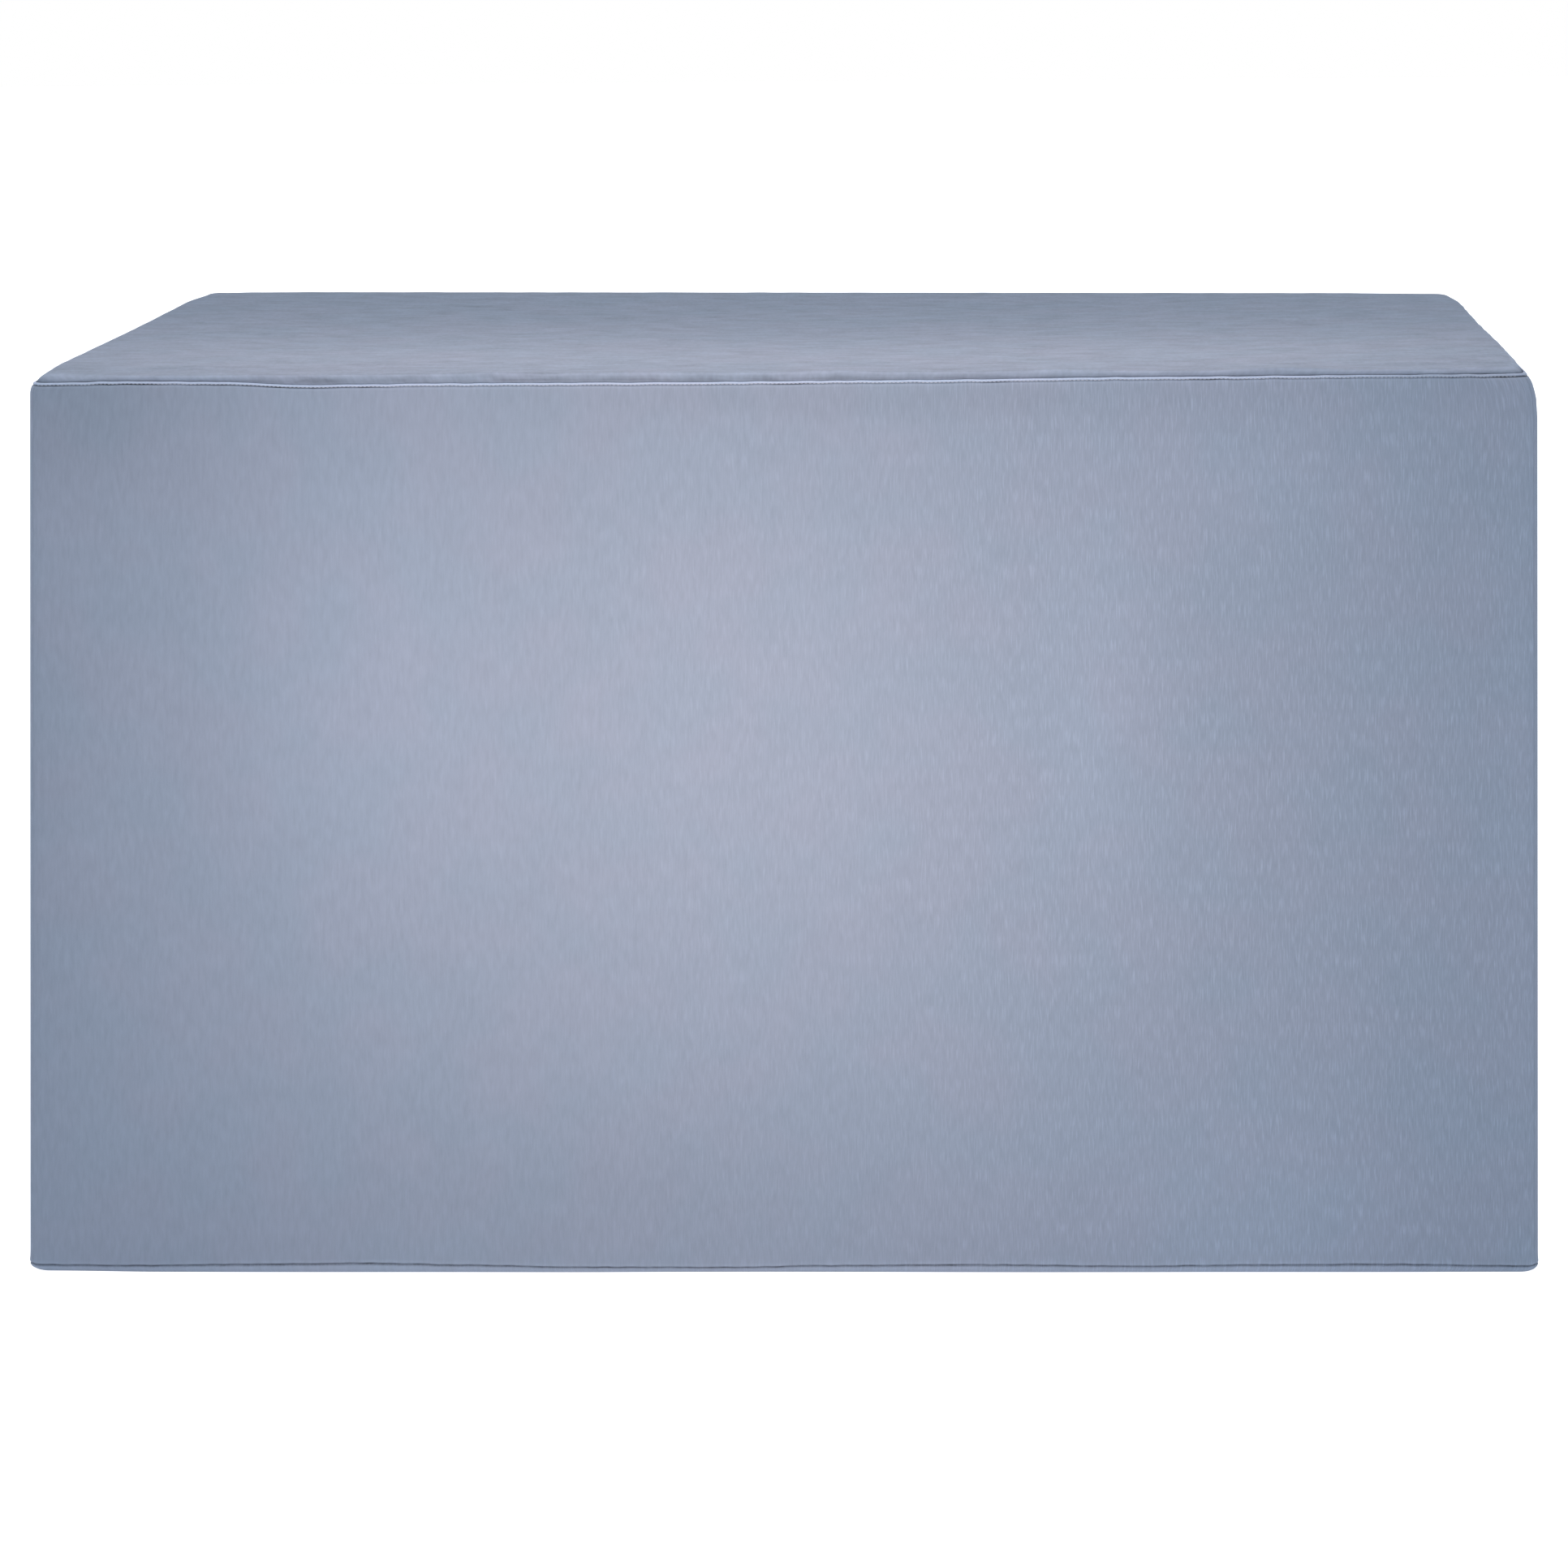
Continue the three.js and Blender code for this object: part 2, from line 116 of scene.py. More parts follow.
# The sides, anticlockwise from above. Along each, from its left end as a share of its length: how clearly the slubs
# show, the top seam's drop under the roof, how far the wall leans in under it, how far the hem is drawn in, the
# height of the hem's stitching (mm), how strongly the stitching pulls in the seam (lift, which also deepens the
# painted shade in its groove) and how strongly the painted highlight shows on its ridge.
# Fold wave is how uneven the top's fold is, hollow is how far the wall sinks in at its middle, and billow is how far
# the cloth stands in and out of its plane (mm). The soft patches list holds patches of painted light and painted
# shade:
# share of the length, height (m), reach along and up, and how much lighter the painted light makes the cloth (below
# zero, how much darker the painted shade makes it).
sides = [
    {
        "name": "front",
        "foldWave": 0.5,
        "normal": (0, -1),
        "along": (1, 0),
        "ends": ("frontLeft", "frontRight"),
        "hollow": 1,
        "billow": 0.5,
        "seed": 11,
        "clear": [(0, 0), (0.3, 0.1), (0.5, 0.35), (0.72, 0.8), (0.88, 1), (1, 1)],
        "drop": [(0, 7), (0.06, 5.5), (0.12, 6.5), (0.18, 10), (0.28, 9), (0.42, 9), (0.58, 8), (0.76, 6),
                 (0.92, 5), (1, 6)],
        "lean": [(0, 0), (0.92, 0), (1, 11)],
        "draw": [(0, 4), (0.22, 2.5), (0.48, 4), (0.7, 3), (1, 4)],
        "hemLine": [(0, 9), (0.06, 8), (0.15, 9.5), (0.22, 10.5), (0.29, 8.5), (0.36, 6.5), (0.47, 6),
                    (0.53, 8), (0.63, 9.2), (0.74, 7.5), (0.83, 9), (0.9, 9.8), (1, 8)],
        "lift": [(0, 0.6), (0.03, 0.3), (0.045, 1), (0.068, 1), (0.09, 0.2), (0.12, 0.9), (0.22, 0.8),
                 (0.24, 0.1), (0.49, 0.1), (0.512, 1), (0.53, 0.1), (0.63, 0.1), (0.645, 1), (0.66, 0.1),
                 (0.77, 0.1), (0.79, 1), (0.81, 0.2), (0.92, 0.1), (0.955, 0.6), (1, 1)],
        "ridgeHighlight": [(0, 1), (0.84, 1), (0.93, 0.45), (1, 0.4)],
        # Patches of painted light and painted shade across the front
        "paintedPatches": [(0.22, 0.62, 0.1, 0.26, 0.085), (0.03, 0.9, 0.08, 0.07, -0.1), (0, 0.45, 0.03, 0.3, -0.04),
                  (0.83, 0.03, 0.1, 0.15, 0.09), (0.71, 0.6, 0.04, 0.22, 0.05), (0.81, 0.83, 0.08, 0.06, 0.055),
                  (1, 0.5, 0.03, 0.4, 0.04), (0.42, 0.08, 0.16, 0.1, -0.04), (0.58, 0.905, 0.2, 0.015, -0.06)],
    },
    {
        "name": "right",
        "foldWave": 0.3,
        "normal": (1, 0),
        "along": (0, 1),
        "ends": ("frontRight", "backRight"),
        "hollow": 5,
        "billow": 1.8,
        "seed": 12,
        "clear": [(0, 0.6), (1, 0.6)],
        "drop": [(0, 6), (0.04, 9), (0.3, 9.5), (0.62, 8), (1, 8)],
        "lean": [(0, 11), (0.45, 7), (1, 0)],
        "draw": [(0, 4), (0.45, 5.5), (1, 4)],
        "hemLine": [(0, 8), (0.2, 9.5), (0.45, 7), (0.7, 9), (1, 8)],
        "lift": [(0, 1), (0.08, 0.1), (0.3, 0.1), (0.36, 0.9), (0.42, 0.2), (0.8, 0.1), (0.86, 0.9), (1, 0.3)],
        "ridgeHighlight": [(0, 0.4), (0.12, 1), (1, 1)],
        "paintedPatches": [],
    },
    {
        "name": "back",
        "foldWave": 0.4,
        "normal": (0, 1),
        "along": (-1, 0),
        "ends": ("backRight", "backLeft"),
        "hollow": 4,
        "billow": 1.8,
        "seed": 13,
        "clear": [(0, 0.6), (1, 0.6)],
        "drop": [(0, 8), (0.2, 10), (0.45, 8.5), (0.75, 10), (1, 8)],
        "lean": [(0, 0), (1, 0)],
        "draw": [(0, 4), (0.35, 3), (0.6, 5), (1, 4)],
        "hemLine": [(0, 8), (0.12, 9.5), (0.3, 7), (0.48, 9.5), (0.66, 8), (0.84, 10), (1, 9)],
        "lift": [(0, 0.3), (0.2, 0.1), (0.24, 0.9), (0.3, 0.2), (0.55, 0.1), (0.6, 1), (0.64, 0.1), (1, 0.4)],
        "ridgeHighlight": [(0, 1), (1, 1)],
        "paintedPatches": [],
    },
    {
        "name": "left",
        "foldWave": 0.15,
        "normal": (-1, 0),
        "along": (0, -1),
        "ends": ("backLeft", "frontLeft"),
        "hollow": 6,
        "billow": 2.0,
        "seed": 14,
        "clear": [(0, 0.6), (1, 0.6)],
        "drop": [(0, 8), (0.35, 9.5), (0.7, 8.5), (1, 7)],
        "lean": [(0, 0), (0.5, 4), (0.85, 3), (1, 0)],
        "draw": [(0, 4), (0.55, 5), (1, 4)],
        "hemLine": [(0, 9), (0.25, 7.5), (0.5, 9.5), (0.75, 8), (1, 9)],
        "lift": [(0, 0.3), (0.4, 0.1), (0.46, 0.9), (0.52, 0.1), (0.9, 0.1), (1, 0.6)],
        "ridgeHighlight": [(0, 1), (1, 1)],
        "paintedPatches": [],
    },
]

# The skirt's lip, from behind its folded top edge over it and down: the ridge, the groove that the topstitching
# pulls in and the puff of cloth under it. Each row has its way down from the top (mm), how proud it stands (mm)
# and how much light or shade is painted on the cloth there: a painted highlight on the ridge and on the puff, and
# painted shade in the groove.
lipRows = [
    {"down": 0.5, "proud": -0.95, "shade": 0.3}, {"down": 0.1, "proud": -0.65, "shade": 0.5},
    {"down": 0.0, "proud": -0.2, "shade": 0.7}, {"down": 0.1, "proud": 0.3, "shade": 0.78},
    {"down": 0.4, "proud": 0.75, "shade": 0.78}, {"down": 0.9, "proud": 1.0, "shade": 0.78},
    {"down": 1.4, "proud": 0.9, "shade": 0.7}, {"down": 1.8, "proud": 0.6, "shade": 0.45},
    {"down": 2.15, "proud": 0.1, "shade": 0}, {"down": 2.5, "proud": -0.3, "shade": -0.35},
    {"down": 2.9, "proud": -0.4, "shade": -0.5}, {"down": 3.3, "proud": -0.1, "shade": -0.35},
    {"down": 3.8, "proud": 0.3, "shade": 0.1}, {"down": 4.5, "proud": 0.45, "shade": 0.12},
    {"down": 5.4, "proud": 0.35, "shade": 0.05}, {"down": 6.6, "proud": 0.2, "shade": 0},
    {"down": 8.2, "proud": 0.1, "shade": 0}, {"down": 10.5, "proud": 0.05, "shade": 0},
    {"down": 13.5, "proud": 0, "shade": 0}, {"down": 18, "proud": 0, "shade": 0},
    {"down": 25, "proud": 0, "shade": 0},
]

# The hem: rows over its stitching, by height above it (mm), and rows of the folded band as shares of its height,
# each with how proud it stands (mm) and how much light or shade is painted on it: a painted highlight on the fold
# over the stitching, painted shade in the groove along the stitching and the band painted lighter below it.
overHemRows = [
    {"above": 22, "proud": 0, "shade": 0}, {"above": 16, "proud": 0, "shade": 0},
    {"above": 11.5, "proud": 0, "shade": 0}, {"above": 8, "proud": 0.1, "shade": 0},
    {"above": 5.5, "proud": 0.2, "shade": 0}, {"above": 3.8, "proud": 0.35, "shade": 0.03},
    {"above": 2.6, "proud": 0.5, "shade": 0.08}, {"above": 1.7, "proud": 0.55, "shade": 0.08},
    {"above": 1.0, "proud": 0.3, "shade": -0.1}, {"above": 0.45, "proud": -0.3, "shade": -0.35},
]
bandRows = [
    {"share": 1.0, "proud": -0.75, "shade": -0.5}, {"share": 0.94, "proud": -0.55, "shade": -0.45},
    {"share": 0.87, "proud": 0.1, "shade": -0.1}, {"share": 0.79, "proud": 0.5, "shade": 0.12},
    {"share": 0.7, "proud": 0.65, "shade": 0.16}, {"share": 0.58, "proud": 0.75, "shade": 0.16},
    {"share": 0.46, "proud": 0.8, "shade": 0.14}, {"share": 0.34, "proud": 0.75, "shade": 0.12},
    {"share": 0.22, "proud": 0.6, "shade": 0.12}, {"share": 0.12, "proud": 0.3, "shade": 0.12},
    {"share": 0.05, "proud": -0.1, "shade": 0.1}, {"share": 0.01, "proud": -0.6, "shade": 0},
]


def mix(a, b, t):
    return a + (b - a) * t


def ease(t):
    return t * t * (3 - 2 * t)


def within(t):
    return np.clip(t, 0, 1)


def readTable(rows, at):
    places, values = np.array(rows, float).T
    step = np.clip(np.searchsorted(places, at), 1, len(places) - 1)
    share = within((at - places[step - 1]) / (places[step] - places[step - 1]))
    return mix(values[step - 1], values[step], ease(share))


def ripple(along, seed, longest, shortest, count=9):
    # An uneven wave about 1 high, made of sines whose lengths lie between two wavelengths
    draws = np.random.default_rng(seed)
    total = np.zeros_like(along)
    for step in range(count):
        length = longest * (shortest / longest) ** (step / (count - 1)) * draws.uniform(0.92, 1.08)
        total += np.sin(2 * math.pi * along / length + draws.uniform(0, 2 * math.pi))
    return total / math.sqrt(2 * count)


def patches(across, along, seed):
    # Soft random patches one unit wide, from -1 to 1
    cells = np.random.default_rng(seed).uniform(-1, 1, (64, 64))
    left, low = np.floor(across).astype(int), np.floor(along).astype(int)
    u, v = ease(across - left), ease(along - low)
    at = lambda i, j: cells[(left + i) % 64, (low + j) % 64]
    return mix(mix(at(0, 0), at(1, 0), u), mix(at(0, 1), at(1, 1), u), v)


def sideLength(side):
    return cover["topDepth"] if side["along"][0] == 0 else cover["topWidth"]


def clothLength(side):
    # Along the top outline, from the seam in the middle of one bend to the seam in the middle of the next
    return sideLength(side) - (2 - math.pi / 2) * cover["edgeRadius"]


def placeOn(side, distance):
    # Where a distance along the cloth lies: its share of the straight run, and its angle in the bend
    bend = cover["edgeRadius"] * math.pi / 4
    length = clothLength(side)
    at = within((distance - bend) / (length - 2 * bend))
    angle = (within((distance - length + bend) / bend) - within(1 - distance / bend)) * math.pi / 4
    return at, angle


def cornerValue(side, at, key, middle):
    start, end = (corners[name] for name in side["ends"])
    reach = cover["cornerReach"] / sideLength(side)
    fromStart = ease(within(1 - at / reach))
    fromEnd = ease(within(1 - (1 - at) / reach))
    return middle + (start[key] - middle) * fromStart + (end[key] - middle) * fromEnd


def roofLevel(side, at):
    start, end = (corners[name]["rise"] for name in side["ends"])
    return cover["roofHeight"] + mix(start, end, at)


def seamDrop(side, at):
    return readTable(side["drop"], at) * mm


def rounding(side, at):
    return cornerValue(side, at, "rounding", cover["foldRadius"])


def roundedIn(radius, depth):
    rise = radius - np.minimum(depth, radius)
    return radius - np.sqrt(radius**2 - rise**2)


def wallHang(side, at, z):
    # How far the wall hangs inside the straight line between two corners, without the top's rounding
    depth = roofLevel(side, at) - z
    lean = readTable(side["lean"], at) * mm * within(1 - depth / cover["leanHeight"]) ** 2
    hollow = side["hollow"] * mm * np.sin(math.pi * at) * np.sin(math.pi * z / cover["roofHeight"])
    draw = cornerValue(side, at, "hemDraw", readTable(side["draw"], at) * mm)
    curl = draw * within(1 - z / cover["hemCurl"]) ** cover["hemCurlPower"]
    return lean + hollow + curl


def outlinePlace(side, at, angle, z, inset, radius):
    # A place on the outline at height z: how far in the outline runs there, and how round its corners are
    swing = 1 - z / cover["roofHeight"]
    ends = []
    for corner in (corners[name] for name in side["ends"]):
        x = corner["x"] * (cover["topWidth"] / 2 + corner["swingX"] * swing - inset - radius)
        y = corner["y"] * (cover["topDepth"] / 2 + corner["swingY"] * swing - inset - radius)
        along = x * side["along"][0] + y * side["along"][1]
        out = x * side["normal"][0] + y * side["normal"][1]
        ends.append((along, out))
    along = mix(ends[0][0], ends[1][0], at) + np.sin(angle) * radius
    out = mix(ends[0][1], ends[1][1], at) + np.cos(angle) * radius
    x = along * side["along"][0] + out * side["normal"][0]
    y = along * side["along"][1] + out * side["normal"][1]
    return np.stack(np.broadcast_arrays(x, y, z), -1)


# Meshes

def joinGrid(first, second):
    # Quads between two lines of points
    return np.stack([first[:-1], second[:-1], second[1:], first[1:]], -1).reshape(-1, 4)


def gridFaces(rows):
    return np.concatenate([joinGrid(rows[i], rows[i + 1]) for i in range(len(rows) - 1)])


def edgeFaces(first, second, heights):
    # Triangles between two lines that run down side by side with points at different heights
    faces = []
    a = b = 0
    while a + 1 < len(first) or b + 1 < len(second):
        firstNext = heights[first[a + 1]] if a + 1 < len(first) else -math.inf
        secondNext = heights[second[b + 1]] if b + 1 < len(second) else -math.inf
        if firstNext >= secondNext:
            faces.append((first[a], second[b], first[a + 1]))
            a += 1
        else:
            faces.append((first[a], second[b], second[b + 1]))
            b += 1
    return np.array(faces)


def makeMesh(name, points, faceSets, material, values=None):
    mesh = bpy.data.meshes.new(name)
    corners = np.concatenate([faces.ravel() for faces in faceSets]).astype(np.int32)
    sizes = np.concatenate([np.full(len(faces), faces.shape[1]) for faces in faceSets])
    mesh.vertices.add(len(points))
    mesh.vertices.foreach_set("co", points.astype(np.float32).ravel())
    mesh.loops.add(len(corners))
    mesh.loops.foreach_set("vertex_index", corners)
    mesh.polygons.add(len(sizes))
    starts = np.concatenate([[0], np.cumsum(sizes)[:-1]]).astype(np.int32)
    mesh.polygons.foreach_set("loop_start", starts)
    mesh.polygons.foreach_set("use_smooth", np.ones(len(sizes), bool))
    for key, (kind, field, array) in (values or {}).items():
        attribute = mesh.attributes.new(key, kind, "POINT")
        attribute.data.foreach_set(field, array.astype(np.float32).ravel())
    mesh.update(calc_edges=True)
    mesh.validate()
    mesh.materials.append(material)
    piece = bpy.data.objects.new(name, mesh)
    bpy.context.scene.collection.objects.link(piece)
    return piece


# Materials

def addNode(tree, kind, inputs=None, **settings):
    made = tree.nodes.new(kind)
    for name, value in settings.items():
        setattr(made, name, value)
    for name, value in (inputs or {}).items():
        if isinstance(value, bpy.types.NodeSocket):
            tree.links.new(value, made.inputs[name])
        else:
            made.inputs[name].default_value = value
    return made


def newMaterial(name, **sockets):
    material = bpy.data.materials.new(name)
    material.use_nodes = True
    shader = material.node_tree.nodes["Principled BSDF"]
    for socket, value in sockets.items():
        shader.inputs[socket.replace("_", " ")].default_value = value
    return material, material.node_tree, shader


# Slubs are the thicker places along the threads: their size across and along a thread, the range of the noise that
# shows, and how strongly they show where the weave is blurred and where it is clear
skirtFinish = {
    "lavender": (0.341, 0.397, 0.513, 1),
    "slate": (0.329, 0.397, 0.513, 1),
    "tonePatch": 110 * mm,
    "roughness": 0.86,
    "sheen": 0.12,
    "sheenRoughness": 0.55,
    "specular": 0.25,
    "slubs": [
        {"cell": (1.3 * mm, 19 * mm), "range": (0.5, 0.7), "blurred": 0.03, "clear": 0.2},
        {"cell": (1.6 * mm, 14 * mm), "range": (0.3, 0.7), "blurred": 0.03, "clear": 0.09},
        {"cell": (5 * mm, 20 * mm), "range": (0.3, 0.7), "blurred": 0.085, "clear": 0.05},
        {"cell": (45 * mm, 60 * mm), "range": (0.3, 0.7), "blurred": 0.03, "clear": 0.024},
    ],
    "creaseShadows": [],
    "weave": 0.9 * mm,
    "weaveHeight": 0.05 * mm,
    "slubHeight": 0.03 * mm,
}

# The top has shorter, softer marks, which stand partly for the cloth's own uneven tone and partly for painted shade
# of soft wrinkles, and fine creases from side to side darkened with painted shade, drawn along a noise's middle level
topFinish = {
    **skirtFinish,
    "slubs": [
        {"cell": (9 * mm, 5 * mm), "range": (0.3, 0.7), "blurred": 0.12, "clear": 0.12},
        {"cell": (12 * mm, 30 * mm), "range": (0.35, 0.65), "blurred": 0.1, "clear": 0.1},
        {"cell": (26 * mm, 50 * mm), "range": (0.38, 0.62), "blurred": 0.1, "clear": 0.1},
        {"cell": (60 * mm, 120 * mm), "range": (0.3, 0.7), "blurred": 0.03, "clear": 0.03},
    ],
    "creaseShadows": [
        {"cell": (24 * mm, 230 * mm), "width": 0.035, "depth": 0.1, "patch": (40 * mm, 70 * mm)},
        {"cell": (14 * mm, 140 * mm), "width": 0.045, "depth": 0.08, "patch": (30 * mm, 45 * mm)},
    ],
}


def scaledNoise(tree, vector, cell, detail=2.0):
    spread = addNode(tree, "ShaderNodeVectorMath", {0: vector, 1: (1 / cell[0], 1 / cell[1], 1)}, operation="MULTIPLY")
    noise = addNode(tree, "ShaderNodeTexNoise", {"Vector": spread.outputs[0], "Scale": 1.0, "Detail": detail})
    return noise.outputs["Fac"]


def calculate(tree, operation, a, b=0.0, c=0.0):
    return addNode(tree, "ShaderNodeMath", {0: a, 1: b, 2: c}, operation=operation).outputs[0]


def stretched(tree, value, limits):
    # From 0 at the first limit to 1 at the second
    inputs = {"Value": value, "From Min": limits[0], "From Max": limits[1]}
    return addNode(tree, "ShaderNodeMapRange", inputs).outputs[0]


def coverCloth(name, finish):
    material, tree, shader = newMaterial(
        name,
        Roughness=finish["roughness"],
        Sheen_Weight=finish["sheen"],
        Sheen_Roughness=finish["sheenRoughness"],
        Specular_IOR_Level=finish["specular"],
    )
    place = addNode(tree, "ShaderNodeAttribute", attribute_name="clothPlace").outputs["Vector"]
    # Painted highlights and painted shade, carried by the meshes, make the colour lighter or darker
    paintedShading = addNode(tree, "ShaderNodeAttribute", attribute_name="paintedLightShade").outputs["Fac"]
    clear = addNode(tree, "ShaderNodeAttribute", attribute_name="slubClear").outputs["Fac"]
    patch = finish["tonePatch"]
    tone = stretched(tree, scaledNoise(tree, place, (patch, patch)), (0.4, 0.6))
    tones = {0: tone, 6: finish["slate"], 7: finish["lavender"]}
    colour = addNode(tree, "ShaderNodeMix", tones, data_type="RGBA")
    shade = calculate(tree, "ADD", paintedShading, 1.0)
    relief = 0.0
    for slub in finish["slubs"]:
        shown = stretched(tree, scaledNoise(tree, place, slub["cell"]), slub["range"])
        relief = calculate(tree, "ADD", relief, shown)
        strength = calculate(tree, "MULTIPLY_ADD", clear, slub["clear"] - slub["blurred"], slub["blurred"])
        middle = (0.5 - slub["range"][0]) / (slub["range"][1] - slub["range"][0])
        shade = calculate(tree, "MULTIPLY_ADD", calculate(tree, "SUBTRACT", shown, middle), strength, shade)
    # Painted shade along fine creases, in patches
    for crease in finish["creaseShadows"]:
        off = calculate(tree, "ABSOLUTE", calculate(tree, "SUBTRACT", scaledNoise(tree, place, crease["cell"]), 0.5))
        line = stretched(tree, off, (crease["width"], 0))
        shown = stretched(tree, scaledNoise(tree, place, crease["patch"], 0.0), (0.5, 0.62))
        line = calculate(tree, "MULTIPLY", line, shown)
        shade = calculate(tree, "MULTIPLY_ADD", line, -crease["depth"], shade)
    shaded = addNode(tree, "ShaderNodeVectorMath", {0: colour.outputs[2], "Scale": shade}, operation="SCALE")
    tree.links.new(shaded.outputs[0], shader.inputs["Base Color"])

    across = addNode(tree, "ShaderNodeSeparateXYZ", {0: place})
    turns = 2 * math.pi / finish["weave"]
    waves = [calculate(tree, "SINE", calculate(tree, "MULTIPLY", across.outputs[i], turns)) for i in range(2)]
    threads = calculate(tree, "MULTIPLY", calculate(tree, "MULTIPLY", *waves), finish["weaveHeight"])
    height = calculate(tree, "MULTIPLY_ADD", relief, finish["slubHeight"], threads)
    bump = addNode(tree, "ShaderNodeBump", {"Height": height, "Strength": 1.0, "Distance": 1.0})
    tree.links.new(bump.outputs[0], shader.inputs["Normal"])
    return material


def sewingThread(name, dark, light):
    material, tree, shader = newMaterial(name, Roughness=0.6, Sheen_Weight=0.2, Specular_IOR_Level=0.35)
    around = addNode(tree, "ShaderNodeTexCoord").outputs["Object"]
    fibre = scaledNoise(tree, around, (0.9 * mm, 0.5 * mm))
    tones = {0: fibre, 6: (*dark, 1), 7: (*light, 1)}
    colour = addNode(tree, "ShaderNodeMix", tones, data_type="RGBA")
    tree.links.new(colour.outputs[2], shader.inputs["Base Color"])
    bump = addNode(tree, "ShaderNodeBump", {"Height": fibre, "Strength": 0.4, "Distance": 0.2 * mm})
    tree.links.new(bump.outputs[0], shader.inputs["Normal"])
    return material


skirtMaterial = coverCloth("skirtCloth", skirtFinish)
topMaterial = coverCloth("topCloth", topFinish)
seamMaterial = sewingThread("seamSewing", (0.52, 0.55, 0.64), (0.62, 0.65, 0.73))
hemMaterial = sewingThread("hemSewing", (0.26, 0.31, 0.42), (0.36, 0.41, 0.53))
print("materials made")


# The skirt panels
skirt = {
    "columnPitch": 2.4 * mm,
    "nearSeam": [0.02, 0.5, 1.0, 1.8, 3.0],  # mm from the upright seam, where its edge turns in
    "bodyRows": 44,
    "puckerHeight": 0.26 * mm,
    "puckerReach": 8 * mm,
    "lipWave": 0.25 * mm,
    "hemPuckerHeight": 0.3 * mm,
    "hemPuckerSlope": 1.1,
    "shadeWave": 0.3,
    "innerRows": [0.012, 0.03, 0.12, 0.3, 0.5, 0.7, 0.88, 0.97],  # shares of the way down
}

# Stronger puckers across the front's hem, as a share of its length, with their height (mm)
frontHemPuckers = [
    (0.08, 0.8), (0.185, 0.4), (0.226, 0.5), (0.506, 0.6), (0.55, 0.5), (0.655, 0.9), (0.672, 0.6), (0.685, 0.9),
    (0.748, 0.7), (0.788, 0.6), (0.896, 1.0), (0.974, 0.8),
]


def skirtColumns(side):
    ends = np.array(skirt["nearSeam"]) * mm
    length = clothLength(side)
    first = ends[-1] + 1.5 * mm
    count = round((length - 2 * first) / skirt["columnPitch"]) + 1
    return np.concatenate([ends, np.linspace(first, length - first, count), length - ends[::-1]])


def lipTop(side, distance):
    at, _ = placeOn(side, distance)
    wave = ripple(distance, side["seed"], 0.09, 0.025) * skirt["lipWave"]
    return roofLevel(side, at) - seamDrop(side, at) + wave


def hemLine(side, distance):
    at, _ = placeOn(side, distance)
    return (readTable(side["hemLine"], at) + 0.25 * ripple(distance, side["seed"] + 1, 0.08, 0.02)) * mm


def seamPuckers(side, distance, down):
    # Small ripples that the topstitching gathers under itself, in uneven groups
    patch = 0.3 + 0.7 * within(0.5 + patches(distance / 0.11, 0 * distance, side["seed"] + 2))
    fade = within(down / (3 * mm)) * np.exp(-np.maximum(down - 3 * mm, 0) / skirt["puckerReach"])
    return ripple(distance, side["seed"] + 3, 0.028, 0.008) * skirt["puckerHeight"] * patch * fade


def hemPuckers(side, distance, z):
    line = hemLine(side, distance)
    slanted = distance - z * skirt["hemPuckerSlope"]
    over = np.exp(-np.maximum(z - line, 0) / (5 * mm))
    patch = 0.35 + 0.65 * within(0.4 + patches(distance / 0.07, 0 * distance, side["seed"] + 4))
    total = ripple(slanted, side["seed"] + 5, 0.024, 0.007) * skirt["hemPuckerHeight"] * patch
    if side["name"] == "front":
        spots = [(share * clothLength(side), height) for share, height in frontHemPuckers]
    else:
        draws = np.random.default_rng(side["seed"] + 6)
        spots = [(draws.uniform(0.02, 0.98) * clothLength(side), draws.uniform(0.3, 0.9)) for _ in range(9)]
    for spot, height in spots:
        away = (slanted - spot) / (3.2 * mm)
        total = total - height * mm * away * np.exp(-(away**2)) * 1.2
    return total * over


def billow(side, distance, z):
    length = clothLength(side)
    fromCorner = ease(within(np.minimum(distance, length - distance) / 0.12))
    fromSeam = ease(within((cover["roofHeight"] - z) / 0.2))
    wide = patches(distance / 0.19, z / 0.7, side["seed"] + 7)
    narrow = patches(distance / 0.08, z / 0.4, side["seed"] + 8)
    return side["billow"] * mm * (wide + 0.4 * narrow) * fromCorner * fromSeam


def seamDip(side, distance):
    # The cloth turns in along each upright seam
    near = np.minimum(distance, clothLength(side) - distance)
    return -0.7 * mm * np.exp(-((near / (0.9 * mm)) ** 2))


def skirtPlace(side, distance, z, proud):
    at, angle = placeOn(side, distance)
    proud = proud + billow(side, distance, z) + seamDip(side, distance)
    inset = np.maximum(wallHang(side, at, z) + roundedIn(rounding(side, at), roofLevel(side, at) - z), 0) - proud
    return outlinePlace(side, at, angle, z, inset, cover["edgeRadius"] + proud)


